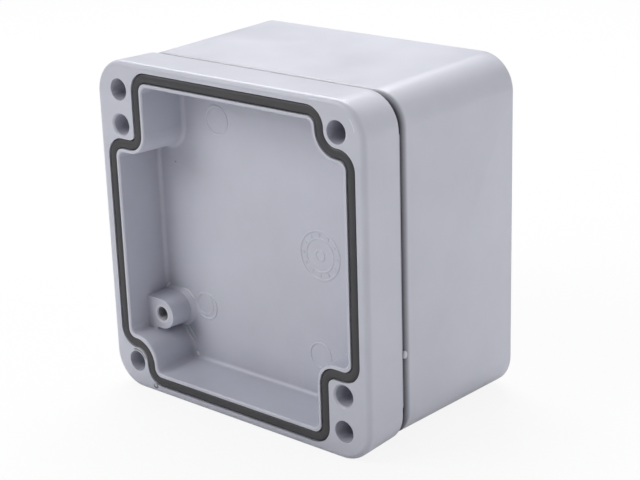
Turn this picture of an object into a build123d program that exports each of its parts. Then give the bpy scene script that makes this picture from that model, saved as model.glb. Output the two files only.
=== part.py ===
"""Die-cast aluminium enclosure, shown open: the lid stands on its side in front, its sealed inner side to -Y,
and the deep base stands behind it, back to back, with its open rim to +Y.

Units are millimetres. +X right, +Z up, origin at the bottom centre of the whole arrangement.
Each piece is made in its own frame, rim plane at z = 0 and mouth upward, and is then stood up.
In that frame x is the frame's X, and y is the frame's height for the lid and minus the height for the base.
"""
import os
from math import radians, tan

from build123d import *

os.makedirs("parts", exist_ok=True)

# outside
WIDTH = 120.0            # along X at the rims
HEIGHT = 122.0           # along Z at the rims
CORNER_R = 12.5          # plan corner radius at the rims
LID_SIDE = 18.3          # rim plane to the border of the lid's outer face
PANEL_RISE = 2.2         # raised field on the lid's outer face
PANEL_INSET = 1.5        # its sides, in from the border
PANEL_EDGE = 0.4
BASE_DEPTH = 59.5        # rim plane to the bottom
LID_DRAFT = 1.9          # degrees, side walls
BASE_DRAFT = 1.25        # degrees, side walls
LID_RIM_ROUND = 2.0
LID_BACK_EDGE = 0.6
BASE_RIM_EDGE = 0.4
BASE_BOTTOM_ROUND = 2.0

# corner holes
SCREW_SIDE_INSET = 11.1  # screw hole, in from the sides
SCREW_END_INSET = 10.3   # and in from top and bottom
POCKET_STEP = 12.6       # screw hole to the second hole beside it, at two opposite corners only

# path of the seal
SEAL_SIDE_INSET = 5.8    # straight runs, in from the sides
SEAL_END_INSET = 4.9     # straight runs, in from top and bottom
SEAL_BEND_R = 5.0        # outward bends of the path
POST_BEND_R = 7.1        # bend about a single screw hole
LONG_POST_SIDE = 8.1     # screw hole to the run beside a two-hole corner
LONG_POST_END = 6.8      # pocket hole to the run under a two-hole corner
LONG_POST_BEND_R = 4.4
GROOVE_W = 3.8
GROOVE_DEPTH = 4.8
LIP_T = 1.2              # wall between groove and cavity, at the rim
LIP_EDGE = 0.4
GASKET_SIDE_GAP = 0.1    # each side, gasket in groove
GASKET_SINK = 0.2        # gasket's top below the rim
GASKET_EDGE = 0.5        # chamfer along both upper edges

# lid inside
LID_FLOOR_T = 2.0        # under the raised field
LID_CAVITY_DRAFT = 2.5   # degrees
LID_FLOOR_ROUND = 1.5
LID_CAVITY_BEND_R = 2.5  # corners of the cavity, at the rim
LID_HOLE_D = 7.8
LID_SINK_D = 10.6        # counterbore for the screw head
LID_SINK_DEPTH = 2.0     # below the border
PANEL_NOTCH = 3.8        # screw hole to the edges of the notch in the field
POCKET_D = 7.4
POCKET_DEPTH = 12.0
POCKET_LEAD = 0.6        # rounded mouth

# earth bosses, one in each half
EARTH_SIDE_INSET = 16.5  # in from the side
EARTH_STEP = 16.9        # screw hole to the boss, along the height
EARTH_R = 5.6
BOSS_DRAFT = 3.0         # degrees, all bosses
EARTH_FOOT = 1.2         # flare at the floor
EARTH_FACE = 8.5         # lid: boss face below the rim
EARTH_HOLE_D = 5.0
EARTH_HOLE_DEPTH = 7.5
HOLE_LEAD = 0.4
BASE_EARTH_H = 10.0      # base: boss height over the floor

# base inside
BASE_FLOOR_T = 4.0
BASE_CAVITY_DRAFT = 1.2  # degrees
BASE_FLOOR_EDGE = 2.0
TONGUE_W = 2.4
TONGUE_H = 1.5
TONGUE_LEAD = 0.3
CHANNEL_D = 9.0          # wall screw and its head pass down it
CHANNEL_WEB = 8.0        # metal left at the bottom
WALL_HOLE_D = 5.5
TAPPED_D = 6.1
TAPPED_DEPTH = 28.0
BOSS_SIDE_INSET = 28.0   # four floor bosses, in from the sides
BOSS_END_INSET = 16.0    # and in from top and bottom
BOSS_D = 9.0
BOSS_H = 5.0
BOSS_HOLE_D = 4.0
BOSS_HOLE_DEPTH = 7.0

# lid screws, kept in the base's threads while the lid is off
SCREW_D = 5.9
SCREW_L = 25.0
HEAD_D = 10.0
HEAD_H = 3.9
HEAD_EDGE = 0.5
SLOT_W = 1.6
SLOT_DEPTH = 1.9
SCREW_END = 0.8          # chamfer at the tip

HALF_W = WIDTH / 2
HALF_H = HEIGHT / 2
LID_DEPTH = LID_SIDE + PANEL_RISE
LID_FLOOR = LID_DEPTH - LID_FLOOR_T
BASE_FLOOR = BASE_DEPTH - BASE_FLOOR_T
CAVITY_OFF = GROOVE_W / 2 + LIP_T

# places, from the centre of the plan
SCREW_X = HALF_W - SCREW_SIDE_INSET
SCREW_Y = HALF_H - SCREW_END_INSET
POCKET_X = SCREW_X
POCKET_Y = SCREW_Y - POCKET_STEP
SEAL_X = HALF_W - SEAL_SIDE_INSET
SEAL_Y = HALF_H - SEAL_END_INSET
POST_Y = SCREW_Y - POST_BEND_R         # the seal's run beside a single post
EARTH_X = HALF_W - EARTH_SIDE_INSET
EARTH_Y = SCREW_Y - EARTH_STEP
BOSS_X = HALF_W - BOSS_SIDE_INSET
BOSS_Y = HALF_H - BOSS_END_INSET


def top_edges(solid):
    return solid.faces().sort_by(Axis.Z)[-1].edges()


def low_edges(solid):
    return solid.faces().sort_by(Axis.Z)[0].edges()


def block(depth, draft):
    """Outside of one half, from the rim plane down, with its sides leaning in by the draft."""
    return extrude(RectangleRounded(WIDTH, HEIGHT, CORNER_R), depth, dir=(0, 0, -1), taper=draft)


def seal_path(off, z=0.0, side=1, bend=None):
    """Outline that follows the seal, moved inward by off. side = 1 for the lid's frame, -1 for the base's.

    bend sets the outward bends apart from the offset, and the bend about a single post then takes what they leave.
    """
    x, y = SEAL_X - off, SEAL_Y - off
    sx, sy = SCREW_X - POST_BEND_R - off, POST_Y - off
    dx, dy = SCREW_X - LONG_POST_SIDE - off, POCKET_Y - LONG_POST_END - off
    half = [(x, sy), (sx, sy), (sx, y), (-dx, y), (-dx, dy), (-x, dy)]
    pts = half + [(-x, -y) for x, y in half]
    sk = make_face(Polyline(*[(x, side * y) for x, y in pts], close=True))
    out_r = SEAL_BEND_R - off if bend is None else bend
    post_r = SEAL_BEND_R + POST_BEND_R - out_r
    kinds = (((0, 2, 3, 5), out_r), ((1,), post_r), ((4,), LONG_POST_BEND_R + off))
    for index, r in kinds:
        want = [pts[i + 6 * n] for n in (0, 1) for i in index]
        vs = sk.vertices()
        sk = fillet([vs.sort_by_distance(Vector(x, side * y, 0))[0] for x, y in want], r)
    return Pos(0, 0, z) * sk


def cavity(off, floor, draft, bend, side):
    """Solid that the cavity removes: the seal's outline moved in by off, drafted down to the floor."""
    return extrude(seal_path(off, 0, side, bend), floor, dir=(0, 0, -1), taper=draft)


def bore(x, y, d, top, depth, lead=0.0):
    """Hole along z from top down, with a small conical mouth."""
    hole = Pos(x, y, top - depth / 2) * Cylinder(d / 2, depth)
    if lead:
        hole += Pos(x, y, top - lead / 2) * Cone(d / 2, d / 2 + lead, lead)
    return hole


def corners(x, y):
    return [(x, y), (-x, y), (-x, -y), (x, -y)]


def earth_boss(x, y, wall, post, foot_z, height):
    """Drafted boss with a flared foot. It grows out of the side wall, whose metal is at x = wall,
    and is filled up to the corner post below it, whose metal is at y = post."""
    toward = 1 if wall > x else -1
    reach = abs(wall - x)
    foot_r = EARTH_R + height * tan(radians(BOSS_DRAFT))

    def rise(r, amount, draft):
        shape = Circle(r) + Pos(toward * reach / 2, 0) * Rectangle(reach, 2 * r)
        return extrude(Pos(x, y, foot_z) * shape, amount, taper=draft)

    fill_w = reach - EARTH_R / 2
    fill = Pos(wall - toward * fill_w / 2, (y + post) / 2, foot_z + height / 2) * Box(fill_w, abs(y - post), height)
    return rise(foot_r, height, BOSS_DRAFT) + rise(foot_r + EARTH_FOOT, EARTH_FOOT, 45) + fill


def make_lid():
    body = block(LID_SIDE, LID_DRAFT)
    body = fillet(top_edges(body), LID_RIM_ROUND)
    body = chamfer(low_edges(body), LID_BACK_EDGE)
    border = LID_SIDE * tan(radians(LID_DRAFT)) + PANEL_INSET
    panel = RectangleRounded(WIDTH - 2 * border, HEIGHT - 2 * border, CORNER_R - border)
    for sx, sy in corners(1, 1):
        # square notch whose inner corner is concentric with the screw, open to both sides
        inner_x, inner_y = SCREW_X - PANEL_NOTCH, SCREW_Y - PANEL_NOTCH
        w, h = HALF_W - inner_x, HALF_H - inner_y
        notch = Pos(sx * (inner_x + w / 2), sy * (inner_y + h / 2)) * Rectangle(w, h)
        near = notch.vertices().sort_by_distance(Vector(0, 0, 0))[0]
        panel -= fillet(near, PANEL_NOTCH)
    field = extrude(Pos(0, 0, -LID_DEPTH) * panel, PANEL_RISE + LID_FLOOR_T)
    field = chamfer(low_edges(field), PANEL_EDGE)
    body += field
    body -= fillet(low_edges(cavity(CAVITY_OFF, LID_FLOOR, LID_CAVITY_DRAFT, LID_CAVITY_BEND_R, 1)), LID_FLOOR_ROUND)
    body -= extrude(seal_path(-GROOVE_W / 2, -GROOVE_DEPTH) - seal_path(GROOVE_W / 2, -GROOVE_DEPTH), GROOVE_DEPTH)
    lip = body.faces().filter_by(Plane.XY).group_by(Axis.Z)[-1].sort_by(SortBy.AREA)[0]
    body = chamfer(lip.inner_wires()[0].edges(), LIP_EDGE)
    body += earth_boss(-EARTH_X, -EARTH_Y, -SEAL_X, -POST_Y, -LID_FLOOR, LID_FLOOR - EARTH_FACE)
    body -= bore(-EARTH_X, -EARTH_Y, EARTH_HOLE_D, -EARTH_FACE, EARTH_HOLE_DEPTH, HOLE_LEAD)
    for x, y in corners(SCREW_X, SCREW_Y):
        body -= bore(x, y, LID_HOLE_D, 0, LID_DEPTH)
        body -= bore(x, y, LID_SINK_D, -LID_SIDE + LID_SINK_DEPTH, LID_SINK_DEPTH + PANEL_RISE)
    for x, y in ((-POCKET_X, POCKET_Y), (POCKET_X, -POCKET_Y)):
        body -= bore(x, y, POCKET_D, 0, POCKET_DEPTH, POCKET_LEAD)
    return body


def make_gasket():
    half = GROOVE_W / 2 - GASKET_SIDE_GAP
    ring = seal_path(-half, -GROOVE_DEPTH) - seal_path(half, -GROOVE_DEPTH)
    body = extrude(ring, GROOVE_DEPTH - GASKET_SINK)
    return chamfer(top_edges(body), GASKET_EDGE)


def make_base():
    body = block(BASE_DEPTH, BASE_DRAFT)
    body = chamfer(top_edges(body), BASE_RIM_EDGE)
    body = fillet(low_edges(body), BASE_BOTTOM_ROUND)
    tongue = extrude(seal_path(-TONGUE_W / 2, 0, -1), TONGUE_H)
    body += chamfer(top_edges(tongue), TONGUE_LEAD)
    body -= extrude(seal_path(TONGUE_W / 2, 0, -1), TONGUE_H)
    bend = SEAL_BEND_R - TONGUE_W / 2
    body -= chamfer(low_edges(cavity(TONGUE_W / 2, BASE_FLOOR, BASE_CAVITY_DRAFT, bend, -1)), BASE_FLOOR_EDGE)
    body += earth_boss(EARTH_X, -EARTH_Y, SEAL_X, -POST_Y, -BASE_FLOOR, BASE_EARTH_H)
    body -= bore(EARTH_X, -EARTH_Y, EARTH_HOLE_D, -BASE_FLOOR + BASE_EARTH_H, EARTH_HOLE_DEPTH, HOLE_LEAD)
    foot_r = BOSS_D / 2 + BOSS_H * tan(radians(BOSS_DRAFT))
    for x, y in corners(BOSS_X, BOSS_Y):
        body += Pos(x, y, -BASE_FLOOR + BOSS_H / 2) * Cone(foot_r, BOSS_D / 2, BOSS_H)
        body -= bore(x, y, BOSS_HOLE_D, -BASE_FLOOR + BOSS_H, BOSS_HOLE_DEPTH, HOLE_LEAD)
    for x, y in corners(SCREW_X, SCREW_Y):
        body -= bore(x, y, TAPPED_D, 0, TAPPED_DEPTH, HOLE_LEAD)
    for x, y in ((-POCKET_X, -POCKET_Y), (POCKET_X, POCKET_Y)):
        body -= bore(x, y, CHANNEL_D, 0, BASE_DEPTH - CHANNEL_WEB)
        body -= bore(x, y, WALL_HOLE_D, 0, BASE_DEPTH)
    return body


def make_screw():
    """Slotted cheese-head screw, underside of the head at z = 0."""
    shank = Pos(0, 0, -SCREW_L / 2) * Cylinder(SCREW_D / 2, SCREW_L)
    shank = chamfer(shank.edges().sort_by(Axis.Z)[0], SCREW_END)
    head = Pos(0, 0, HEAD_H / 2) * Cylinder(HEAD_D / 2, HEAD_H)
    head = chamfer(head.edges().sort_by(Axis.Z)[-1], HEAD_EDGE)
    head -= Pos(0, 0, HEAD_H - SLOT_DEPTH / 2) * Box(HEAD_D * 2, SLOT_W, SLOT_DEPTH)
    return shank + head


SPAN = LID_DEPTH + BASE_DEPTH + HEAD_H
LID_PLACE = Pos(0, -SPAN / 2, HALF_H) * Rot(90, 0, 0)
BASE_PLACE = Pos(0, SPAN / 2 - HEAD_H, HALF_H) * Rot(-90, 0, 0)

export_step(LID_PLACE * make_lid(), "parts/lid.step")
export_step(LID_PLACE * make_gasket(), "parts/lid_gasket.step")
export_step(BASE_PLACE * make_base(), "parts/base.step")
screw = make_screw()
for n, ((x, y), turn) in enumerate(zip(corners(SCREW_X, SCREW_Y), (25, 110, 68, 152)), 1):
    export_step(BASE_PLACE * Pos(x, y, 0) * Rot(0, 0, turn) * screw, f"parts/lid_screw_{n}.step")
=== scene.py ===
"""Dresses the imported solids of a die-cast aluminium box that stands open, lid and base back to back.

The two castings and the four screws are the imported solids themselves, with softened edges and their
finishes. The seal, the screw threads and the small marks of casting are meshes built here. Lengths in the
classes are millimetres, as on a drawing, and MM turns them into metres. Lengths inside materials are metres.
"""
import logging
import math
from dataclasses import dataclass
from enum import Enum

import bpy
from bpy.types import Material, Node, NodeSocket, NodeTree, Object
from mathutils import Matrix, Vector

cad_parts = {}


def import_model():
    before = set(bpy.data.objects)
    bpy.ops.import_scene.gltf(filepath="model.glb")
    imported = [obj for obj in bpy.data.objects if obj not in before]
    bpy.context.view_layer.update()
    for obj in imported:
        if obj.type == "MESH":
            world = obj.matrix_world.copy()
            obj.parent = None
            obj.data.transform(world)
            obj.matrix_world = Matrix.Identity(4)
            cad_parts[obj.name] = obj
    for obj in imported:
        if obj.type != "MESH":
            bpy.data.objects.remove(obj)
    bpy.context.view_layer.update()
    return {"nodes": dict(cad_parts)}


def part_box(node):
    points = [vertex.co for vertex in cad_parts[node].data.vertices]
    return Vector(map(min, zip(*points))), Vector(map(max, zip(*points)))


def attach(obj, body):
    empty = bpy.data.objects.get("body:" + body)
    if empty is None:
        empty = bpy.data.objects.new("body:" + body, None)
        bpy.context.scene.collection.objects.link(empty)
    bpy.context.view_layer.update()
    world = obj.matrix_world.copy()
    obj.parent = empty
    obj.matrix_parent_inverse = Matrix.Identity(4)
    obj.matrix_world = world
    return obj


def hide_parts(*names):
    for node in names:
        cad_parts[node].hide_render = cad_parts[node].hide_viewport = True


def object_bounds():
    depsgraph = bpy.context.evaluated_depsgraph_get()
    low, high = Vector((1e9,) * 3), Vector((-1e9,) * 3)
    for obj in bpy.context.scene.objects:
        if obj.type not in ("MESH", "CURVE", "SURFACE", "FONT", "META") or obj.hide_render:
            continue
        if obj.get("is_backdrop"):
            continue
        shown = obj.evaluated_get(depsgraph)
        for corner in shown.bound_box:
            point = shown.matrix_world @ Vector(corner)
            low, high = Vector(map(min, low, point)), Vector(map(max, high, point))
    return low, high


MM = 0.001
BODY = "root"
NOISE_LOW = 0.3
NOISE_HIGH = 0.7
Colour = tuple[float, float, float]
log = logging.getLogger("box")


class Half(Enum):
    """The casting in whose plan a place is given."""

    LID = "lid"
    BASE = "base"


class Slot(Enum):
    """Names of material slots for the pieces built here; the script does not use them."""

    CASTING = "casting"
    SEAL = "seal"


@dataclass(frozen=True)
class Stand:
    """Where the two rims stand, in millimetres."""

    lid_rim: float
    base_rim: float
    middle: float

    @classmethod
    def from_solids(cls, tongue: float = 1.5) -> "Stand":
        """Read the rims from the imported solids.

        Args:
            tongue: How far the base's tongue stands above its rim.

        Returns:
            The stand of this model.
        """
        lid_low, lid_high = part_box("lid")
        base_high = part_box("base")[1]
        middle = (lid_low.z + lid_high.z) / 2
        return cls(lid_low.y / MM, base_high.y / MM - tongue, middle / MM)

    def place(self, half: Half, x: float, z: float, depth: float) -> Vector:
        """Find a point, in metres, from its place in a half's plan and its depth below the rim."""
        y = self.lid_rim + depth if half is Half.LID else self.base_rim - depth
        return Vector((x, y, self.middle + z)) * MM


class Draft:
    """Vertices and faces gathered for one mesh."""

    def __init__(self) -> None:
        """Start empty."""
        self.points: list[Vector] = []
        self.faces: list[tuple[int, ...]] = []

    def ring(self, points: list[Vector]) -> list[int]:
        """Add a row of points.

        Args:
            points: The points in order.

        Returns:
            Their indices.
        """
        start = len(self.points)
        self.points.extend(points)
        return list(range(start, start + len(points)))

    def skin(self, rings: list[list[int]], around: bool = True, along: bool = False) -> None:
        """Join rows of equal length with quads.

        Args:
            rings: The rows, from ring().
            around: Close each row on itself.
            along: Join the last row to the first.
        """
        pairs = list(zip(rings, rings[1:]))
        if along:
            pairs.append((rings[-1], rings[0]))
        for low, high in pairs:
            count = len(low)
            for i in range(count if around else count - 1):
                j = (i + 1) % count
                self.faces.append((low[i], low[j], high[j], high[i]))

    def cap(self, ring: list[int]) -> None:
        """Close a row with one face."""
        self.faces.append(tuple(ring))

    def piece(self, name: str, material: Material, sharp: float = 40.0) -> Object:
        """Make the object, smooth it and let it ride on the part's body.

        Args:
            name: The piece's name.
            material: Its finish.
            sharp: Edges that bend more than this, in degrees, stay sharp.

        Returns:
            The linked object.
        """
        mesh = bpy.data.meshes.new(name)
        mesh.from_pydata(self.points, [], self.faces)
        mesh.validate()
        for polygon in mesh.polygons:
            polygon.use_smooth = True
        mesh.set_sharp_from_angle(angle=math.radians(sharp))
        mesh.materials.append(material)
        made = bpy.data.objects.new(name, mesh)
        bpy.context.scene.collection.objects.link(made)
        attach(made, BODY)
        log.info("%s: %d faces", name, len(self.faces))
        return made


class Sheet:
    """Adds nodes to one node tree and wires them, each new node a step to the right."""

    STEP = 190

    def __init__(self, tree: NodeTree) -> None:
        """Work on a tree."""
        self.tree = tree
        self.count = 0

    def add(self, kind: str, **settings: object) -> Node:
        """Add a node.

        Args:
            kind: Its class name without the leading ShaderNode or Node.
            settings: Attributes to set on it.

        Returns:
            The node.
        """
        full = kind if kind.startswith("Node") else "ShaderNode" + kind
        node = self.tree.nodes.new(full)
        node.location = ((self.count % 8) * self.STEP, -(self.count // 8) * self.STEP * 1.6)
        self.count += 1
        for key, value in settings.items():
            setattr(node, key, value)
        return node

    def feed(self, socket: NodeSocket, value: object) -> None:
        """Wire another socket into this one, or set it to a plain value.

        Args:
            socket: The socket to fill.
            value: A socket or a plain value.
        """
        if isinstance(value, NodeSocket):
            self.tree.links.new(value, socket)
        else:
            socket.default_value = value

    def sum(self, how: str, first: object, second: object = 0.0, clamp: bool = False) -> NodeSocket:
        """Combine two values with a Math node.

        Args:
            how: The operation's name.
            first: A socket or number.
            second: A socket or number.
            clamp: Hold the result between 0 and 1.

        Returns:
            The result's socket.
        """
        node = self.add("Math", operation=how, use_clamp=clamp)
        self.feed(node.inputs[0], first)
        self.feed(node.inputs[1], second)
        return node.outputs[0]

    def span(self, value: object, low: float, high: float, to_low: float, to_high: float) -> NodeSocket:
        """Map a value from one span to another and hold it inside.

        Args:
            value: A socket or number.
            low: Start of the span it comes from.
            high: End of the span it comes from.
            to_low: Start of the span it goes to.
            to_high: End of the span it goes to.

        Returns:
            The result's socket.
        """
        node = self.add("MapRange", clamp=True)
        for index, part in enumerate((value, low, high, to_low, to_high)):
            self.feed(node.inputs[index], part)
        return node.outputs[0]

    def blend(self, mask: object, first: object, second: object, how: str = "MIX") -> NodeSocket:
        """Mix two colours.

        Args:
            mask: How much of the second, 0 to 1.
            first: A socket or colour.
            second: A socket or colour.
            how: The blend type.

        Returns:
            The mixed colour's socket.
        """
        node = self.add("Mix", data_type="RGBA", blend_type=how)
        self.feed(node.inputs[0], mask)
        self.feed(node.inputs[6], first)
        self.feed(node.inputs[7], second)
        return node.outputs[2]

    def vary(self, noise: object, to_low: float, to_high: float) -> NodeSocket:
        """Spread the middle of a noise over a span."""
        return self.span(noise, NOISE_LOW, NOISE_HIGH, to_low, to_high)

    def stain(self, under: object, mask: object, share: float, colour: Colour) -> NodeSocket:
        """Lay a share of a colour over the one under it, where a mask says so."""
        return self.blend(self.sum("MULTIPLY", mask, share), under, (*colour, 1.0))

    def noise(self, vector: object, scale: float, detail: float = 2.0, rough: float = 0.5) -> NodeSocket:
        """Make a noise.

        Args:
            vector: The place it is read at.
            scale: Waves per metre.
            detail: Octaves.
            rough: Share of the finer octaves.

        Returns:
            Its value's socket.
        """
        node = self.add("TexNoise")
        self.feed(node.inputs["Vector"], vector)
        self.feed(node.inputs["Scale"], scale)
        self.feed(node.inputs["Detail"], detail)
        self.feed(node.inputs["Roughness"], rough)
        return node.outputs["Fac"]

    def place(self) -> NodeSocket:
        """The surface's place in the model's frame, in metres."""
        return self.add("TexCoord").outputs["Object"]

    def along_y(self) -> NodeSocket:
        """Split off the place along Y.

        Returns:
            Its socket, in metres.
        """
        parts = self.add("SeparateXYZ")
        self.feed(parts.inputs[0], self.place())
        return parts.outputs["Y"]

    def from_axis(self, axis: object) -> NodeSocket:
        """Measure the distance from a line along Y.

        Args:
            axis: Any point on the line, in metres.

        Returns:
            The distance's socket, in metres.
        """
        away = self.add("VectorMath", operation="SUBTRACT")
        self.feed(away.inputs[0], self.place())
        away.inputs[1].default_value = axis
        flat = self.add("VectorMath", operation="MULTIPLY")
        self.feed(flat.inputs[0], away.outputs["Vector"])
        flat.inputs[1].default_value = (1.0, 0.0, 1.0)
        length = self.add("VectorMath", operation="LENGTH")
        self.feed(length.inputs[0], flat.outputs["Vector"])
        return length.outputs["Value"]

    def relief(self, shader: Node, height: object, distance: float, strength: float = 1.0) -> None:
        """Give a shader's surface a fine relief.

        Args:
            shader: The Principled node.
            height: The relief's height, 0 to 1.
            distance: What a height of 1 stands for, in metres.
            strength: How strongly it shows.
        """
        bump = self.add("Bump")
        bump.inputs["Distance"].default_value = distance
        bump.inputs["Strength"].default_value = strength
        self.feed(bump.inputs["Height"], height)
        self.feed(shader.inputs["Normal"], bump.outputs["Normal"])

    def shown(self, mirror_share: float) -> NodeSocket:
        """Find how much of a white ground a ray sees: all by eye or through glass, a share in a mirror.

        Args:
            mirror_share: The share for mirrored rays.

        Returns:
            The share's socket.
        """
        path = self.add("LightPath")
        mirrored = self.sum("MULTIPLY", path.outputs["Is Glossy Ray"], mirror_share)
        seen = self.sum("MAXIMUM", path.outputs["Is Camera Ray"], path.outputs["Is Transmission Ray"])
        return self.sum("MAXIMUM", seen, mirrored)


def new_group(name: str, inputs: dict[str, float], outputs: tuple[str, ...]) -> tuple[NodeTree, Sheet]:
    """Start a shader node group whose sockets are all values.

    Args:
        name: The group's name.
        inputs: Names of the input values with their defaults.
        outputs: Names of the output values.

    Returns:
        The tree and a sheet that works on it.
    """
    tree = bpy.data.node_groups.new(name, "ShaderNodeTree")
    for key, value in inputs.items():
        socket = tree.interface.new_socket(key, in_out="INPUT", socket_type="NodeSocketFloat")
        socket.default_value = value
    for key in outputs:
        tree.interface.new_socket(key, in_out="OUTPUT", socket_type="NodeSocketFloat")
    return tree, Sheet(tree)


class Effects:
    """The node groups that more than one finish uses. Scales are waves or cells per metre."""

    CLOUD_SCALE = 38.0
    CHIP_SCALE = 900.0
    MOTTLE_SCALE = 260.0
    SPECK_SCALE = 95.0
    FINE_SHARE = 0.3
    EDGE_SKY = 0.0012

    def __init__(self) -> None:
        """Build each group once."""
        self.skin = self._skin()
        self.edges = self._edges()
        self.shade_and_specks = self._shade_and_specks()

    @staticmethod
    def _skin() -> NodeTree:
        """Make the fine relief of a sprayed or moulded skin, and broad cloudiness for tints.

        Returns:
            The group.
        """
        tree, sheet = new_group("skin_relief", {"Size": 1.0, "Pits": 0.2}, ("Height", "Cloud", "Grit"))
        asked = sheet.add("NodeGroupInput")
        place = sheet.place()
        scale = sheet.sum("DIVIDE", 1000.0, asked.outputs["Size"])
        peel = sheet.add("TexNoise")
        sheet.feed(peel.inputs["Vector"], place)
        sheet.feed(peel.inputs["Scale"], scale)
        sheet.feed(peel.inputs["Detail"], 2.5)
        fine = sheet.add("TexNoise")
        sheet.feed(fine.inputs["Vector"], place)
        sheet.feed(fine.inputs["Scale"], sheet.sum("MULTIPLY", scale, 3.7))
        pits = sheet.add("TexVoronoi", feature="F1")
        sheet.feed(pits.inputs["Vector"], place)
        sheet.feed(pits.inputs["Scale"], sheet.sum("MULTIPLY", scale, 0.31))
        pit = sheet.span(pits.outputs["Distance"], 0.0, 0.12, 1.0, 0.0)
        hollow = sheet.sum("MULTIPLY", pit, asked.outputs["Pits"])
        faint = sheet.sum("MULTIPLY", fine.outputs["Fac"], Effects.FINE_SHARE)
        height = sheet.sum("ADD", peel.outputs["Fac"], faint)
        out = sheet.add("NodeGroupOutput")
        sheet.feed(out.inputs["Height"], sheet.sum("SUBTRACT", height, hollow))
        sheet.feed(out.inputs["Cloud"], sheet.noise(place, Effects.CLOUD_SCALE, 4.0, 0.6))
        sheet.feed(out.inputs["Grit"], sheet.vary(fine.outputs["Fac"], 0.0, 1.0))
        return tree

    @staticmethod
    def _edges() -> NodeTree:
        """Mask the outward edges, whole and broken up by wear, by how far a soft edge turns the surface. A
        share of every edge is kept whole, so what this mask lightens is a painted highlight along all edges
        as well as wear.

        Returns:
            The group.
        """
        tree, sheet = new_group("worn_and_highlit_edges", {"Radius": 0.0004, "Breakup": 0.5}, ("Edge", "WearAndHighlight"))
        asked = sheet.add("NodeGroupInput")
        soft = sheet.add("Bevel", samples=3)
        sheet.feed(soft.inputs["Radius"], asked.outputs["Radius"])
        flat = sheet.add("NewGeometry")
        turn = sheet.add("VectorMath", operation="DOT_PRODUCT")
        sheet.feed(turn.inputs[0], soft.outputs["Normal"])
        sheet.feed(turn.inputs[1], flat.outputs["Normal"])
        open_sky = sheet.add("AmbientOcclusion", samples=3, only_local=True)
        sheet.feed(open_sky.inputs["Distance"], Effects.EDGE_SKY)
        outward = sheet.span(open_sky.outputs["AO"], 0.6, 0.95, 0.0, 1.0)
        bend = sheet.span(turn.outputs["Value"], 0.995, 0.86, 0.0, 1.0)
        edge = sheet.sum("MULTIPLY", bend, outward, clamp=True)
        chips = sheet.noise(sheet.place(), Effects.CHIP_SCALE, 4.0, 0.7)
        bare = sheet.span(chips, 0.46, 0.6, 0.0, 1.0)
        # the kept share marks every edge evenly: painted highlight along the edges, on top of the chipped
        # wear
        keep = sheet.sum("SUBTRACT", 1.0, asked.outputs["Breakup"])
        share = sheet.sum("ADD", keep, sheet.sum("MULTIPLY", bare, asked.outputs["Breakup"]))
        out = sheet.add("NodeGroupOutput")
        sheet.feed(out.inputs["Edge"], edge)
        sheet.feed(out.inputs["WearAndHighlight"], sheet.sum("MULTIPLY", edge, share, clamp=True))
        return tree

    @staticmethod
    def _shade_and_specks() -> NodeTree:
        """Mask painted shade in corners, where little of the sky is open, and sparse dark specks of dirt.

        Returns:
            The group.
        """
        tree, sheet = new_group("corner_shade_and_specks", {"Reach": 0.006, "Specks": 0.5}, ("CornerShade", "Speck"))
        asked = sheet.add("NodeGroupInput")
        open_sky = sheet.add("AmbientOcclusion", samples=4)
        sheet.feed(open_sky.inputs["Distance"], asked.outputs["Reach"])
        closed = sheet.span(open_sky.outputs["AO"], 0.85, 0.1, 0.0, 1.0)
        mottle = sheet.vary(sheet.noise(sheet.place(), Effects.MOTTLE_SCALE, 4.0, 0.65), 0.6, 1.0)
        cells = sheet.add("TexVoronoi", feature="F1")
        sheet.feed(cells.inputs["Vector"], sheet.place())
        sheet.feed(cells.inputs["Scale"], Effects.SPECK_SCALE)
        near = sheet.span(cells.outputs["Distance"], 0.018, 0.03, 1.0, 0.0)
        pick = sheet.add("SeparateColor")
        sheet.feed(pick.inputs[0], cells.outputs["Color"])
        few = sheet.sum("LESS_THAN", pick.outputs[0], asked.outputs["Specks"])
        out = sheet.add("NodeGroupOutput")
        sheet.feed(out.inputs["CornerShade"], sheet.sum("MULTIPLY", closed, mottle, clamp=True))
        sheet.feed(out.inputs["Speck"], sheet.sum("MULTIPLY", near, few, clamp=True))
        return tree


def new_material(name: str) -> tuple[Material, Sheet, Node]:
    """Start a material.

    Args:
        name: Its name.

    Returns:
        The material, a sheet that works on its tree, and its Principled node.
    """
    material = bpy.data.materials.new(name)
    material.use_nodes = True
    return material, Sheet(material.node_tree), material.node_tree.nodes["Principled BSDF"]


def place_group(sheet: Sheet, group: NodeTree, **values: float) -> Node:
    """Put a shared group into a material.

    Args:
        sheet: The material's sheet.
        group: The group's tree.
        values: Its inputs by name, with underscores for spaces.

    Returns:
        The group's node.
    """
    node = sheet.add("Group", node_tree=group)
    for key, value in values.items():
        node.inputs[key.replace("_", " ")].default_value = value
    return node


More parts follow.
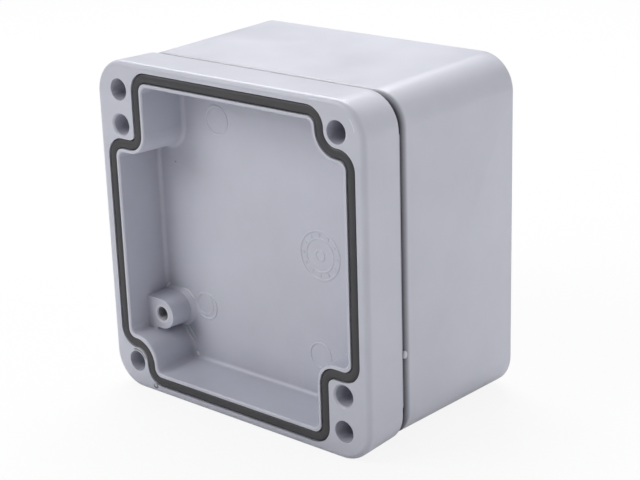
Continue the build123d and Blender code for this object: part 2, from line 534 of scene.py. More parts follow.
@dataclass(frozen=True)
class RimScratch:
    """A short arc on the coat of the lid's rim, in millimetres from the plan's centre: mostly a scratch or
    chip, in places wholly or partly a painted highlight.
    """

    x: float
    z: float
    radius: float
    half_width: float
    toward: float
    reach: float
    tone: Colour
    middle: float = 61.0
    rim: float = -41.0
    core_share: float = 0.4
    fade_share: float = 0.7

    def distance(self, sheet: Sheet, x: float, z: float) -> NodeSocket:
        """Measure the distance in the rim's plane from a place in the plan, in metres."""
        return sheet.from_axis((x * MM, 0.0, (self.middle + z) * MM))

    def mask(self, sheet: Sheet) -> NodeSocket:
        """Mask of the scratch.

        Args:
            sheet: The material's sheet.

        Returns:
            The mask's socket.
        """
        round_centre = self.distance(sheet, self.x, self.z)
        off = sheet.sum("ABSOLUTE", sheet.sum("SUBTRACT", round_centre, self.radius * MM))
        line = sheet.span(off, self.half_width * MM, self.half_width * self.core_share * MM, 0.0, 1.0)
        angle = math.radians(self.toward)
        end_x = self.x + self.radius * math.cos(angle)
        end_z = self.z + self.radius * math.sin(angle)
        from_end = self.distance(sheet, end_x, end_z)
        near = sheet.span(from_end, self.reach * MM, self.reach * self.fade_share * MM, 0.0, 1.0)
        on_rim = sheet.sum("LESS_THAN", sheet.along_y(), self.rim * MM)
        return sheet.sum("MULTIPLY", sheet.sum("MULTIPLY", line, near), on_rim, clamp=True)


@dataclass(frozen=True)
class PowderCoat:
    """Satin powder coat on the castings, with painted shade in its corners and in the joint between the
    halves, and a painted highlight along its edges beside the wear.
    """

    colour: Colour = (0.595, 0.605, 0.685)
    # worn: colour of edge wear and of a painted highlight along the edges
    wear_and_highlight: Colour = (0.74, 0.74, 0.79)
    # shade: colour of the painted shade laid into corners and recesses
    shade: Colour = (0.17, 0.175, 0.21)
    # joint_*: painted shade, a near-black colour laid over the joint between the two halves
    joint_shade_colour: Colour = (0.010, 0.011, 0.015)
    joint_y: float = -21.3
    joint_half: float = 2.2
    joint_fade: float = 1.2
    joint_sky: float = 0.012
    joint_shade_share: float = 0.97
    corner_shade_reach: float = 0.012
    corner_shade_share: float = 0.5
    speck_colour: Colour = (0.06, 0.06, 0.07)
    wear_and_highlight_share: float = 0.75
    scratch_share: float = 0.85
    # grime: how strongly the painted shade of corners and joint is laid on
    painted_shade: float = 1.0
    roughness: float = 0.37
    peel: float = 1.3
    relief: float = 0.00004
    scratches: tuple[RimScratch, ...] = ()

    def joint_shade_mask(self, sheet: Sheet) -> NodeSocket:
        """Mask of the painted shade in the deep joint between the two halves, where little light gets in.

        Args:
            sheet: The material's sheet.

        Returns:
            The mask's socket.
        """
        off = sheet.sum("ABSOLUTE", sheet.sum("SUBTRACT", sheet.along_y(), self.joint_y * MM))
        near = sheet.span(off, self.joint_half * MM, (self.joint_half - self.joint_fade) * MM, 0.0, 1.0)
        open_sky = sheet.add("AmbientOcclusion", samples=4)
        open_sky.inputs["Distance"].default_value = self.joint_sky
        closed = sheet.span(open_sky.outputs["AO"], 0.9, 0.42, 0.35, 1.0)
        return sheet.sum("MULTIPLY", near, closed, clamp=True)

    def build(self, effects: Effects, name: str = "powder_coat") -> Material:
        """Make the material.

        Args:
            effects: The shared node groups.
            name: The material's name.

        Returns:
            The finished material.
        """
        material, sheet, shader = new_material(name)
        skin = place_group(sheet, effects.skin, Size=self.peel, Pits=0.15)
        edges = place_group(sheet, effects.edges, Radius=0.0004, Breakup=0.6)
        shade_and_specks = place_group(sheet, effects.shade_and_specks, Reach=self.corner_shade_reach, Specks=0.035)
        # painted shade: corners and recesses darkened towards the shade colour
        corner = shade_and_specks.outputs["CornerShade"]
        cloud = sheet.vary(skin.outputs["Cloud"], 0.955, 1.03)
        tint = sheet.blend(1.0, (*self.colour, 1.0), cloud, "MULTIPLY")
        # edges lightened: part wear, part painted highlight along every outward edge
        wear_and_highlight = sheet.stain(tint, edges.outputs["WearAndHighlight"], self.wear_and_highlight_share, self.wear_and_highlight)
        corner_shaded = sheet.stain(wear_and_highlight, corner, self.corner_shade_share * self.painted_shade, self.shade)
        # painted shade: the joint between the halves darkened almost to black
        dark = sheet.stain(corner_shaded, self.joint_shade_mask(sheet), self.joint_shade_share * self.painted_shade, self.joint_shade_colour)
        finish = sheet.blend(shade_and_specks.outputs["Speck"], dark, (*self.speck_colour, 1.0))
        for scratch in self.scratches:
            finish = sheet.stain(finish, scratch.mask(sheet), self.scratch_share, scratch.tone)
        sheet.feed(shader.inputs["Base Color"], finish)
        rough = sheet.vary(skin.outputs["Cloud"], self.roughness - 0.05, self.roughness + 0.06)
        rubbed = sheet.sum("SUBTRACT", rough, sheet.sum("MULTIPLY", edges.outputs["WearAndHighlight"], 0.08))
        dull = sheet.sum("ADD", rubbed, sheet.sum("MULTIPLY", corner, 0.2), clamp=True)
        sheet.feed(shader.inputs["Roughness"], dull)
        shader.inputs["IOR"].default_value = 1.5
        shader.inputs["Coat Weight"].default_value = 0.15
        shader.inputs["Coat Roughness"].default_value = 0.28
        sheet.relief(shader, skin.outputs["Height"], self.relief, 0.6)
        return material


@dataclass(frozen=True)
class SealRubber:
    """Foamed anthracite seal with a satin skin."""

    colour: Colour = (0.029, 0.030, 0.036)
    dusty: Colour = (0.070, 0.063, 0.060)
    grit: Colour = (0.14, 0.135, 0.135)
    # edge: colour of the painted shade where the seal meets its groove
    edge: Colour = (0.014, 0.014, 0.016)
    roughness: float = 0.52
    relief: float = 0.00005

    def build(self, effects: Effects) -> Material:
        """Make the material.

        Args:
            effects: The shared node groups.

        Returns:
            The finished material.
        """
        material, sheet, shader = new_material("seal_rubber")
        skin = place_group(sheet, effects.skin, Size=0.5, Pits=0.8)
        shade_and_specks = place_group(sheet, effects.shade_and_specks, Reach=0.001, Specks=0.1)
        dust = sheet.span(skin.outputs["Cloud"], 0.42, 0.68, 0.0, 0.55)
        dusted = sheet.blend(dust, (*self.colour, 1.0), (*self.dusty, 1.0))
        gritty = sheet.stain(dusted, skin.outputs["Grit"], 0.14, self.grit)
        # painted shade: the seal darkened at its edges in the groove
        sheet.feed(shader.inputs["Base Color"], sheet.stain(gritty, shade_and_specks.outputs["CornerShade"], 0.8, self.edge))
        rough = sheet.vary(skin.outputs["Cloud"], self.roughness - 0.1, self.roughness + 0.12)
        sheet.feed(shader.inputs["Roughness"], rough)
        sheet.relief(shader, skin.outputs["Height"], self.relief, 0.7)
        return material


@dataclass(frozen=True)
class TurnedSteel:
    """Bright stainless steel with the rings that turning leaves round an axis along Y."""

    colour: Colour = (0.62, 0.61, 0.59)
    groove: Colour = (0.42, 0.41, 0.41)
    # rubbed: colour of rubbed edges and of a painted highlight along them
    rubbed: Colour = (0.8, 0.79, 0.77)
    painted_shade: Colour = (0.08, 0.075, 0.07)
    roughness: float = 0.26
    rings: float = 2600.0
    relief: float = 0.00001

    def build(self, effects: Effects, name: str, axis: Vector) -> Material:
        """Make the material for one screw.

        Args:
            effects: The shared node groups.
            name: The material's name.
            axis: Any point on the screw's axis.

        Returns:
            The finished material.
        """
        material, sheet, shader = new_material(name)
        skin = place_group(sheet, effects.skin, Size=0.35, Pits=0.1)
        edges = place_group(sheet, effects.edges, Radius=0.0003, Breakup=0.4)
        shade_and_specks = place_group(sheet, effects.shade_and_specks, Reach=0.002, Specks=0.05)
        turned = sheet.add("TexNoise", noise_dimensions="1D")
        sheet.feed(turned.inputs["W"], sheet.from_axis(axis))
        sheet.feed(turned.inputs["Scale"], self.rings)
        sheet.feed(turned.inputs["Detail"], 3.0)
        rings = turned.outputs["Fac"]
        tone = sheet.blend(sheet.vary(rings, 0.0, 0.4), (*self.colour, 1.0), (*self.groove, 1.0))
        # edges lightened: part rubbed wear, part painted highlight
        rubbed = sheet.stain(tone, edges.outputs["WearAndHighlight"], 0.6, self.rubbed)
        # painted shade: the screw's recesses darkened towards its painted shade colour
        sheet.feed(shader.inputs["Base Color"], sheet.stain(rubbed, shade_and_specks.outputs["CornerShade"], 0.6, self.painted_shade))
        shader.inputs["Metallic"].default_value = 1.0
        rough = sheet.vary(rings, self.roughness - 0.05, self.roughness + 0.12)
        gritty = sheet.sum("ADD", rough, sheet.sum("MULTIPLY", skin.outputs["Grit"], 0.05))
        sheet.feed(shader.inputs["Roughness"], gritty)
        sheet.relief(shader, rings, self.relief, 0.6)
        return material


@dataclass(frozen=True)
class CutAluminium:
    """Bare cast aluminium where a tap has cut it; its colour is kept dark as painted shade of the bore, with
    painted highlights on the thread's crests and painted shade in its grooves.
    """

    # colour: dark, as painted shade inside the bore
    colour: Colour = (0.16, 0.16, 0.175)
    grit: Colour = (0.22, 0.22, 0.23)
    rubbed: Colour = (0.8, 0.8, 0.82)
    painted_shade: Colour = (0.07, 0.07, 0.075)
    roughness: float = 0.38
    relief: float = 0.00001

    def build(self, effects: Effects) -> Material:
        """Make the material.

        Args:
            effects: The shared node groups.

        Returns:
            The finished material.
        """
        material, sheet, shader = new_material("cut_aluminium")
        skin = place_group(sheet, effects.skin, Size=0.25, Pits=0.4)
        edges = place_group(sheet, effects.edges, Radius=0.00015, Breakup=0.3)
        shade_and_specks = place_group(sheet, effects.shade_and_specks, Reach=0.0015, Specks=0.0)
        tone = sheet.stain((*self.colour, 1.0), skin.outputs["Grit"], 0.3, self.grit)
        # painted highlight on the thread's crests
        lit_crests = sheet.stain(tone, edges.outputs["WearAndHighlight"], 0.7, self.rubbed)
        # painted shade in the thread's grooves
        sheet.feed(shader.inputs["Base Color"], sheet.stain(lit_crests, shade_and_specks.outputs["CornerShade"], 0.7, self.painted_shade))
        shader.inputs["Metallic"].default_value = 0.5
        rough = sheet.vary(skin.outputs["Cloud"], self.roughness - 0.06, self.roughness + 0.1)
        sheet.feed(shader.inputs["Roughness"], rough)
        sheet.relief(shader, skin.outputs["Height"], self.relief, 0.5)
        return material


@dataclass(frozen=True)
class Finishes:
    """The materials of this object."""

    coat: Material
    plain_coat: Material
    highlight_coat: Material
    seal: Material
    thread: Material
    effects: Effects

    @classmethod
    def make(cls) -> "Finishes":
        """Build the groups once and each material on them.

        Returns:
            The finishes.
        """
        effects = Effects()
        dark = (0.07, 0.07, 0.08)
        light = (0.8, 0.8, 0.84)
        # rubbed: light tone of the painted highlight round the earth hole
        rubbed = (0.72, 0.72, 0.77)
        scratches = (
            RimScratch(-48.9, -50.7, 4.6, 0.45, 66.0, 4.0, dark),
            RimScratch(-48.9, -50.7, 5.2, 0.4, 60.0, 3.6, light),
            RimScratch(-40.1, -58.1, 0.9, 0.5, -70.0, 1.8, dark),
            RimScratch(48.9, 50.7, 4.0, 0.45, -8.0, 1.3, light),
            # light arc on the rim's outer rounding: part chipped wear, part painted highlight
            RimScratch(48.9, 50.7, 7.3, 0.22, 25.0, 2.6, light),
            # painted highlight: a light ring round the lid's earth hole stands for its lit lead
            RimScratch(-43.5, -33.8, 3.1, 0.6, 0.0, 9.0, rubbed, rim=-33.3),
        )
        coat = PowderCoat(scratches=scratches).build(effects)
        # a lighter, glossier coat whose light colour paints the glints of the paint beads and the lit side of
        # the cast nub
        highlight_look = PowderCoat(colour=(0.72, 0.72, 0.78), painted_shade=0.0, roughness=0.22)
        highlight = highlight_look.build(effects, "highlight_coat")
        plain = PowderCoat(painted_shade=0.25).build(effects, "plain_coat")
        return cls(coat, plain, highlight, SealRubber().build(effects), CutAluminium().build(effects), effects)


@dataclass(frozen=True)
class SoftEdges:
    """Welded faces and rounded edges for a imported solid, added as modifiers."""

    width: float
    least_angle: float = 30.0
    weld: float = 0.002
    segments: int = 2

    def dress(self, node: Object, material: Material) -> None:
        """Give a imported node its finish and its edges.

        Args:
            node: The node.
            material: Its finish.
        """
        node.data.materials.clear()
        node.data.materials.append(material)
        weld = node.modifiers.new("weld", "WELD")
        weld.merge_threshold = self.weld * MM
        edge = node.modifiers.new("soft_edge", "BEVEL")
        edge.width = self.width * MM
        edge.segments = self.segments
        edge.limit_method = "ANGLE"
        edge.angle_limit = math.radians(self.least_angle)
        edge.harden_normals = True


@dataclass(frozen=True)
class Castings:
    """Lid and base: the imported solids, with a coat's soft edges."""

    edges: SoftEdges = SoftEdges(0.25)

    def dress(self, nodes: dict[str, Object], finishes: Finishes) -> None:
        """Give both castings their edges and their coat.

        Args:
            nodes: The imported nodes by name.
            finishes: The materials.
        """
        for half in Half:
            self.edges.dress(nodes[half.value], finishes.coat)
            log.info("%s: coat and soft edges", half.value)


@dataclass(frozen=True)
class LidScrews:
    """The four lid screws, kept in the base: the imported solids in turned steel."""

    edges: SoftEdges = SoftEdges(0.12)

    def dress(self, nodes: dict[str, Object], finishes: Finishes) -> None:
        """Give each screw its own steel, turned round its own axis.

        Args:
            nodes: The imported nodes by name.
            finishes: The materials.
        """
        steel = TurnedSteel()
        for name in sorted(key for key in nodes if key.startswith("lid_screw")):
            low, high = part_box(name)
            turned = steel.build(finishes.effects, "steel_" + name, (low + high) / 2)
            self.edges.dress(nodes[name], turned)
            log.info("%s: turned steel", name)


@dataclass(frozen=True)
class Turn:
    """A corner of an outline, with the radius of its bend."""

    x: float
    z: float
    radius: float


def rounded_outline(turns: list[Turn], steps: int, run: float) -> list[tuple[Vector, Vector]]:
    """Walk round a closed outline of straight runs and arcs.

    Args:
        turns: The corners in order, counter-clockwise as seen from the open side.
        steps: Pieces of each arc.
        run: Longest piece of a straight run.

    Returns:
        Points in the plan with their normals, which look to the right of the walk.
    """
    found: list[tuple[Vector, Vector]] = []
    count = len(turns)
    spots = [Vector((turn.x, turn.z)) for turn in turns]
    arcs = []
    for index, turn in enumerate(turns):
        here = spots[index]
        back = (spots[index - 1] - here).normalized()
        ahead = (spots[(index + 1) % count] - here).normalized()
        half = math.acos(max(-1.0, min(1.0, back.dot(ahead)))) / 2
        reach = turn.radius / math.tan(half)
        centre = here + (back + ahead).normalized() * (turn.radius / math.sin(half))
        start, end = here + back * reach, here + ahead * reach
        arcs.append((start, end, centre, turn.radius))
    for index, (start, end, centre, radius) in enumerate(arcs):
        last_end = arcs[index - 1][1]
        along = start - last_end
        pieces = max(1, math.ceil(along.length / run))
        heading = along.normalized()
        for step in range(1, pieces):
            found.append((last_end + along * (step / pieces), Vector((heading.y, -heading.x))))
        first, last = start - centre, end - centre
        sweep = math.atan2(first.x * last.y - first.y * last.x, first.dot(last))
        sign = 1.0 if sweep > 0 else -1.0
        for step in range(steps + 1):
            angle = sweep * step / steps
            cos, sin = math.cos(angle), math.sin(angle)
            spoke = Vector((first.x * cos - first.y * sin, first.x * sin + first.y * cos))
            found.append((centre + spoke, spoke.normalized() * sign))
    return found


@dataclass(frozen=True)
class Seal:
    """The seal in the lid's groove. It winds in round the posts, and its skin is a little domed."""

    side: float = 54.2
    end: float = 56.1
    post_x: float = 41.8
    post_z: float = 43.6
    long_x: float = 40.8
    long_z: float = 31.3
    bend: float = 5.0
    post_bend: float = 7.1
    long_bend: float = 4.4
    width: float = 3.66
    crown: float = 0.07
    shoulder: float = 1.1
    bottom: float = 4.8
    dome: float = 0.8
    dome_steps: int = 10
    bend_steps: int = 12
    run: float = 3.0
    waver: float = 0.08
    slow: float = 0.31
    quick: float = 0.83
    quick_share: float = 0.6
    quick_start: float = 1.0
    top_depth: float = 1.0

    def turns(self) -> list[Turn]:
        """List the corners of the seal's middle line, counter-clockwise from the right-hand side."""
        half = [
            Turn(self.side, self.post_z, self.bend),
            Turn(self.post_x, self.post_z, self.post_bend),
            Turn(self.post_x, self.end, self.bend),
            Turn(-self.long_x, self.end, self.bend),
            Turn(-self.long_x, self.long_z, self.long_bend),
            Turn(-self.side, self.long_z, self.bend),
        ]
        return half + [Turn(-turn.x, -turn.z, turn.radius) for turn in half]

    def profile(self) -> list[tuple[float, float]]:
        """Draw the section, from one side over the crown to the other and round below.

        Returns:
            Its points, as place across and depth.
        """
        half = self.width / 2
        top = []
        for step in range(self.dome_steps + 1):
            angle = math.pi * step / self.dome_steps
            across = -half * math.cos(angle)
            rise = math.sin(angle) ** self.dome
            top.append((across, self.shoulder - (self.shoulder - self.crown) * rise))
        return top + [(half, self.bottom), (-half, self.bottom)]

    def build(self, stand: Stand, finishes: Finishes) -> Object:
        """Sweep the section along the path, with the slight waver of a poured bead.

        Args:
            stand: Where the halves stand.
            finishes: The materials.

        Returns:
            The seal.
        """
        draft = Draft()
        rings = []
        section = self.profile()
        path = rounded_outline(self.turns(), self.bend_steps, self.run)
        walked = 0.0
        for index, (spot, normal) in enumerate(path):
            walked += (spot - path[index - 1][0]).length if index else 0.0
            ripple = self.quick_share * math.sin(walked * self.quick + self.quick_start)
            lift = self.waver * (math.sin(walked * self.slow) + ripple) * 0.5
            row = []
            for across, depth in section:
                low = depth if depth > self.top_depth else depth + lift * (self.top_depth - depth)
                point = spot + normal * across
                row.append(stand.place(Half.LID, point.x, point.y, low))
            rings.append(draft.ring(row))
        draft.skin(rings, around=True, along=True)
        made = draft.piece("seal_bead", finishes.seal)
        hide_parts("lid_gasket")
        return made


@dataclass(frozen=True)
class TappedHole:
    """The screw thread in one tapped hole, cut into the solid's plain bore."""

    name: str
    half: Half
    x: float
    z: float
    face: float
    diameter: float
    pitch: float
    length: float
    lead: float = 0.3
    steps: int = 28
    ridge: float = 0.54
    sunk: float = 0.02
    foot: float = 0.46
    top: float = 0.09

    def build(self, stand: Stand, finishes: Finishes) -> Object:
        """Wind the thread's ridge down the bore.

        Args:
            stand: Where the halves stand.
            finishes: The materials.

        Returns:
            The thread.
        """
        draft = Draft()
        rings = []
        wall = self.diameter / 2
        ridge = self.ridge * self.pitch
        root = wall + self.sunk
        foot = self.foot
        top = self.top
        total = int(self.length / self.pitch * self.steps)
        for step in range(total + 1):
            angle = math.tau * step / self.steps
            fade = min(1.0, (step + 2) / self.steps, (total - step + 2) / self.steps)
            depth = self.face + self.lead + self.pitch * (0.5 + step / self.steps)
            crest = wall - ridge * fade
            row = []
            for radius, along in ((root, -foot), (crest, -top), (crest, top), (root, foot)):
                x = self.x + radius * math.cos(angle)
                z = self.z + radius * math.sin(angle)
                row.append(stand.place(self.half, x, z, depth + along * self.pitch))
            rings.append(draft.ring(row))
        draft.skin(rings, around=True)
        draft.cap(rings[0])
        draft.cap(rings[-1][::-1])
        return draft.piece(self.name, finishes.thread)


@dataclass(frozen=True)
class RaisedRing:
    """A low ring on a floor, as ejector pins and mould inserts leave."""

    x: float
    z: float
    radius: float
    width: float = 1.0
    height: float = 0.24
    sunk: float = 0.03
    flat: float = 0.45

    def draw(self, draft: Draft, stand: Stand, floor: float, steps: int = 56) -> None:
        """Add the ring to a draft.

        Args:
            draft: The mesh that gathers it.
            stand: Where the halves stand.
            floor: The lid floor's depth below the rim.
            steps: Pieces round the ring.
        """
        rings = []
        half = self.width / 2
        top = half * self.flat
        section = ((-half, -self.sunk), (-top, self.height), (top, self.height), (half, -self.sunk))
        for step in range(steps):
            angle = math.tau * step / steps
            row = []
            for off, rise in section:
                x = self.x + (self.radius + off) * math.cos(angle)
                z = self.z + (self.radius + off) * math.sin(angle)
                row.append(stand.place(Half.LID, x, z, floor - rise))
            rings.append(draft.ring(row))
        draft.skin(rings, around=True, along=True)


@dataclass(frozen=True)
class FloorMarks:
    """Marks of the mould on the lid's floor: three ejector pins and one round insert with plain ticks."""

    floor: float = 18.5
    insert_x: float = 24.6
    insert_z: float = 0.0
    ticks: int = 12
    tick_from: float = 6.7
    tick_to: float = 7.8
    tick_foot: float = 0.4
    tick_top: float = 0.2
    tick_height: float = 0.2
    sunk: float = 0.03

    def rings(self) -> list[RaisedRing]:
        """List the rings of pins and insert."""
        return [
            RaisedRing(-30.4, -30.8, 4.9),
            RaisedRing(-31.2, -30.2, 3.9, 0.8, 0.16),
            RaisedRing(-20.6, 40.0, 5.0, 0.8, 0.2),
            RaisedRing(23.6, -36.5, 4.6, 0.8, 0.2),
            RaisedRing(self.insert_x, self.insert_z, 8.6, 0.9, 0.2),
            RaisedRing(self.insert_x, self.insert_z, 5.9, 0.8, 0.16),
            RaisedRing(self.insert_x, self.insert_z, 1.9, 0.8, 0.18),
        ]

    def tick(self, draft: Draft, stand: Stand, angle: float) -> None:
        """Add one radial tick of the insert.

        Args:
            draft: The mesh that gathers it.
            stand: Where the halves stand.
            angle: Its direction.
        """
        out = Vector((math.cos(angle), math.sin(angle)))
        side = Vector((-out.y, out.x))
        middle = Vector((self.insert_x, self.insert_z))
        near = self.tick_from
        far = self.tick_to
        rows = []
        for wide, rise in ((self.tick_foot, -self.sunk), (self.tick_top, self.tick_height)):
            row = []
            for reach, sign in ((near, -1), (far, -1), (far, 1), (near, 1)):
                spot = middle + (out * reach + side * sign * wide)
                row.append(stand.place(Half.LID, spot.x, spot.y, self.floor - rise))
            rows.append(draft.ring(row))
        draft.skin(rows, around=True)
        draft.cap(rows[1])

    def build(self, stand: Stand, finishes: Finishes) -> Object:
        """Make all marks as one mesh.

        Args:
            stand: Where the halves stand.
            finishes: The materials.

        Returns:
            The marks.
        """
        draft = Draft()
        for ring in self.rings():
            ring.draw(draft, stand, self.floor)
        for index in range(self.ticks):
            self.tick(draft, stand, math.tau * index / self.ticks)
        return draft.piece("floor_marks", finishes.plain_coat)


@dataclass(frozen=True)
class CastNub:
    """A small nub that the mould's gate left on the base's bottom edge."""

    x: float = 57.9
    y: float = -20.9
    z: float = -28.2
    wide: float = 0.9
    deep: float = 1.0
    tall: float = 1.5
    around: int = 20
    rows: int = 9

    def build(self, stand: Stand, finishes: Finishes) -> Object:
        """Make the nub as an egg that sits in the edge.

        Args:
            stand: Where the halves stand.
            finishes: The materials.

        Returns:
            The nub.
        """
        draft = Draft()
        rings = []
        for row in range(1, self.rows):
            lift = math.pi * row / self.rows
            points = []
            for step in range(self.around):
                turn = math.tau * step / self.around
                x = self.x + self.wide * math.sin(lift) * math.cos(turn)
                y = self.y + self.deep * math.sin(lift) * math.sin(turn)
                z = stand.middle + self.z + self.tall * math.cos(lift)
                points.append(Vector((x, y, z)) * MM)
            rings.append(draft.ring(points))
        draft.skin(rings, around=True)
        draft.cap(rings[0][::-1])
        draft.cap(rings[-1])
        # painted highlight: the nub wears the lighter coat for its lit side
        return draft.piece("cast_nub", finishes.highlight_coat)


@dataclass(frozen=True)
class PaintBead:
    """One bead of coat that ran together in a corner of the lid's floor: places in the plan, and its size."""

    places: tuple[tuple[float, float], ...]
    width: float
    steps: int = 14
    around: int = 10
    look: float = 0.05
    flatness: float = 0.7
    least: float = 0.08
    above: float = 10.0

    def spot(self, share: float) -> Vector:
        """Find a place along the bead, on straight runs between its places.

        Args:
            share: How far along, 0 to 1.

        Returns:
            The place in the plan.
        """
        reach = share * (len(self.places) - 1)
        index = min(int(reach), len(self.places) - 2)
        return Vector(self.places[index]).lerp(Vector(self.places[index + 1]), reach - index)

    def draw(self, draft: Draft, stand: Stand, lid: Object) -> None:
        """Add the bead to a draft, fat in the middle and half sunk in the surface that carries it.

        Args:
            draft: The mesh that gathers it.
            stand: Where the halves stand.
            lid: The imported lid.
        """
        rings = []
        seen = bpy.context.evaluated_depsgraph_get()
        for step in range(self.steps + 1):
            share = step / self.steps
            here = self.spot(share)
            above = stand.place(Half.LID, here.x, here.y, -self.above)
            hit, carried, _, _ = lid.ray_cast(above, Vector((0.0, 1.0, 0.0)), depsgraph=seen)
            if not hit:
                raise ValueError("a bead of coat has nothing under it")
            depth = carried.y / MM - stand.lid_rim
            before = self.spot(max(0.0, share - self.look))
            ahead = (self.spot(min(1.0, share + self.look)) - before).normalized()
            side = Vector((-ahead.y, ahead.x))
            radius = self.width / 2 * math.sqrt(max(self.least, math.sin(math.pi * share)))
            row = []
            for turn in range(self.around):
                angle = math.tau * turn / self.around
                point = here + side * radius * math.cos(angle)
                rise = self.flatness * radius * math.sin(angle)
                row.append(stand.place(Half.LID, point.x, point.y, depth - rise))
            rings.append(draft.ring(row))
        draft.skin(rings, around=True)
        draft.cap(rings[0][::-1])
        draft.cap(rings[-1])


@dataclass(frozen=True)
class PaintBeads:
    """The beads round the lid's earth boss and the post below it, in the lighter coat so that they show as
    painted glints.
    """

    def beads(self) -> list[PaintBead]:
        """List the beads, from the boss's foot down to the corner."""
        return [
            PaintBead(((-42.4, -26.5), (-39.6, -27.0), (-36.2, -29.4)), 1.15),
            PaintBead(((-41.7, -41.4), (-40.1, -43.4), (-38.0, -46.0)), 0.75),
            PaintBead(((-40.6, -40.6), (-39.0, -42.4), (-37.0, -45.0)), 0.6),
            PaintBead(((-36.9, -50.2), (-35.4, -51.6)), 1.3),
            PaintBead(((-49.9, -27.4), (-49.0, -25.7)), 0.9),
        ]

    def build(self, stand: Stand, finishes: Finishes, lid: Object) -> Object:
        """Make all beads as one mesh.

        Args:
            stand: Where the halves stand.
            finishes: The materials.
            lid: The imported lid.

        Returns:
            The beads.
        """
        draft = Draft()
        for bead in self.beads():
            bead.draw(draft, stand, lid)
        return draft.piece("paint_beads", finishes.highlight_coat)


@dataclass(frozen=True)
class Lamp:
    """One soft studio lamp, aimed at the object's middle."""

    name: str
    azimuth: float
    elevation: float
    watts: float
    size: float = 0.9
    distance: float = 1.2

    def build(self, aim: Vector) -> Object:
        """Hang the lamp.

        Args:
            aim: The point that it looks at.

        Returns:
            The lamp.
        """
        around, up = math.radians(self.azimuth), math.radians(self.elevation)
        toward = Vector((math.sin(around) * math.cos(up), -math.cos(around) * math.cos(up), math.sin(up)))
        data = bpy.data.lights.new(self.name, "AREA")
        data.shape = "RECTANGLE"
        data.size = self.size
        data.size_y = self.size
        data.energy = self.watts
        made = bpy.data.objects.new(self.name, data)
        made.location = aim + toward * self.distance
        made.rotation_euler = (-toward).to_track_quat("-Z", "Y").to_euler()
        bpy.context.scene.collection.objects.link(made)
        return made


@dataclass(frozen=True)
class PhotoCamera:
    """Camera at the photograph's viewing angle.

    Angles are degrees, to the right of the lid's front and above it, and the focal length is in pixels.
    """

    x: float = 362.29
    y: float = -409.50
    z: float = 244.55
    azimuth: float = 41.157
    elevation: float = 19.138
    roll: float = 1.821
    focal: float = 1630.39
    frame: float = 640.0
    sensor: float = 36.0

    def build(self) -> Object:
        """Make the camera and set it as the scene's.

        Returns:
            The camera.
        """
        around, up, roll = (math.radians(angle) for angle in (self.azimuth, self.elevation, self.roll))
        ahead = Vector((-math.sin(around) * math.cos(up), math.cos(around) * math.cos(up), -math.sin(up)))
        level = ahead.cross(Vector((0.0, 0.0, 1.0))).normalized()
        down = ahead.cross(level)
        right = math.cos(roll) * level + math.sin(roll) * down
        below = math.cos(roll) * down - math.sin(roll) * level
        data = bpy.data.cameras.new("camera")
        data.sensor_width = self.sensor
        data.lens = self.focal / self.frame * self.sensor
        made = bpy.data.objects.new("camera", data)
        turned = Matrix((right, -below, -ahead)).transposed()
        made.matrix_world = Matrix.Translation(Vector((self.x, self.y, self.z)) * MM) @ turned.to_4x4()
        bpy.context.scene.collection.objects.link(made)
        bpy.context.scene.camera = made
        return made


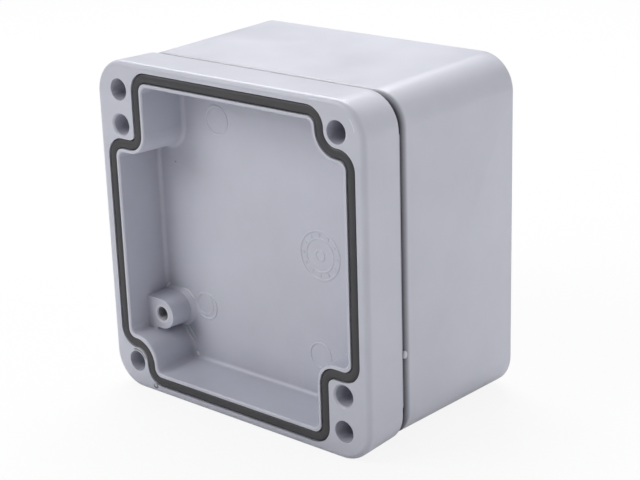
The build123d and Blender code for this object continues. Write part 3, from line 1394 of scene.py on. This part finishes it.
@dataclass(frozen=True)
class Studio:
    """Plain pale floor, white surround and soft lamps."""

    half_floor: float = 4.0
    floor_colour: Colour = (0.86, 0.86, 0.87)
    white_share: float = 0.88
    mirror_share: float = 0.45
    surround: float = 0.0

    def lamps(self) -> list[Lamp]:
        """List the lamps, with their places and powers."""
        return [
            Lamp("left_back_lamp", -130.0, 55.0, 12.0),
            Lamp("high_back_lamp", 180.0, 50.0, 2.4),
            Lamp("high_front_lamp", -5.0, 45.0, 1.3),
            Lamp("fore_left_lamp", -32.0, 36.0, 6.6, 0.7),
            Lamp("right_lamp", 98.0, 15.0, 3.6),
            Lamp("right_fore_lamp", 85.0, 35.0, 0.9),
            Lamp("right_back_lamp", 130.0, 25.0, 1.6),
        ]

    def surround_world(self) -> None:
        """Show the world white by eye and partly in mirrors. At a surround of 0 it casts no light."""
        world = bpy.data.worlds.new("surround")
        bpy.context.scene.world = world
        world.use_nodes = True
        world.node_tree.nodes.clear()
        sheet = Sheet(world.node_tree)
        soft = sheet.add("Background")
        soft.inputs["Color"].default_value = (0.97, 0.98, 1.0, 1.0)
        soft.inputs["Strength"].default_value = self.surround
        white = sheet.add("Background")
        white.inputs["Color"].default_value = (1.0, 1.0, 1.0, 1.0)
        white.inputs["Strength"].default_value = 1.0
        mix = sheet.add("MixShader")
        sheet.feed(mix.inputs[0], sheet.shown(self.mirror_share))
        sheet.feed(mix.inputs[1], soft.outputs[0])
        sheet.feed(mix.inputs[2], white.outputs[0])
        sheet.feed(sheet.add("OutputWorld").inputs["Surface"], mix.outputs[0])

    def floor_material(self) -> Material:
        """Make the floor's pale matt paint, shown white by eye and in mirrors, with the shadow kept.

        Returns:
            The floor's material.
        """
        material, sheet, shader = new_material("pale_floor")
        place = sheet.place()
        mottle = sheet.vary(sheet.noise(place, 6.0, 4.0), 0.985, 1.0)
        tone = sheet.blend(1.0, (*self.floor_colour, 1.0), mottle, "MULTIPLY")
        sheet.feed(shader.inputs["Base Color"], tone)
        sheet.feed(shader.inputs["Roughness"], sheet.vary(sheet.noise(place, 90.0), 0.78, 0.9))
        sheet.relief(shader, sheet.noise(place, 1500.0), 0.00005)
        glow = sheet.add("Emission")
        glow.inputs["Strength"].default_value = 1.0
        share = sheet.sum("MULTIPLY", sheet.shown(self.mirror_share), self.white_share)
        mix = sheet.add("MixShader")
        sheet.feed(mix.inputs[0], share)
        sheet.feed(mix.inputs[1], shader.outputs[0])
        sheet.feed(mix.inputs[2], glow.outputs[0])
        sheet.feed(material.node_tree.nodes["Material Output"].inputs["Surface"], mix.outputs[0])
        return material

    def build(self) -> None:
        """Lay the floor, light the world and hang the lamps."""
        size = self.half_floor
        mesh = bpy.data.meshes.new("floor")
        corners = [(-size, -size, 0), (size, -size, 0), (size, size, 0), (-size, size, 0)]
        mesh.from_pydata(corners, [], [(0, 1, 2, 3)])
        mesh.materials.append(self.floor_material())
        floor = bpy.data.objects.new("floor", mesh)
        bpy.context.scene.collection.objects.link(floor)
        floor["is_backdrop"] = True
        self.surround_world()
        low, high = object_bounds()
        for lamp in self.lamps():
            lamp.build((low + high) / 2)


def tapped_holes() -> list[TappedHole]:
    """List the tapped holes: an earth hole in each half, and four plate holes in the base's floor.

    Returns:
        The holes.
    """
    holes = [
        TappedHole("lid_earth_thread", Half.LID, -43.5, -33.8, 8.5, 5.0, 0.8, 6.6),
        TappedHole("base_earth_thread", Half.BASE, 43.5, 33.8, 45.5, 5.0, 0.8, 6.6),
    ]
    for index, (x, z) in enumerate(((32, 45), (-32, 45), (-32, -45), (32, -45)), 1):
        holes.append(TappedHole(f"plate_thread_{index}", Half.BASE, x, z, 50.5, 4.0, 0.7, 6.0))
    return holes


def main() -> None:
    """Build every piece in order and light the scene."""
    logging.basicConfig(level=logging.INFO, format="%(name)s %(message)s")
    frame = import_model()
    stand = Stand.from_solids()
    finishes = Finishes.make()
    Castings().dress(frame["nodes"], finishes)
    LidScrews().dress(frame["nodes"], finishes)
    Seal().build(stand, finishes)
    for hole in tapped_holes():
        hole.build(stand, finishes)
    FloorMarks().build(stand, finishes)
    CastNub().build(stand, finishes)
    PaintBeads().build(stand, finishes, frame["nodes"]["lid"])
    PhotoCamera().build()
    Studio().build()
    bpy.context.scene.view_settings.view_transform = "Standard"


if __name__ == "__main__":
    main()
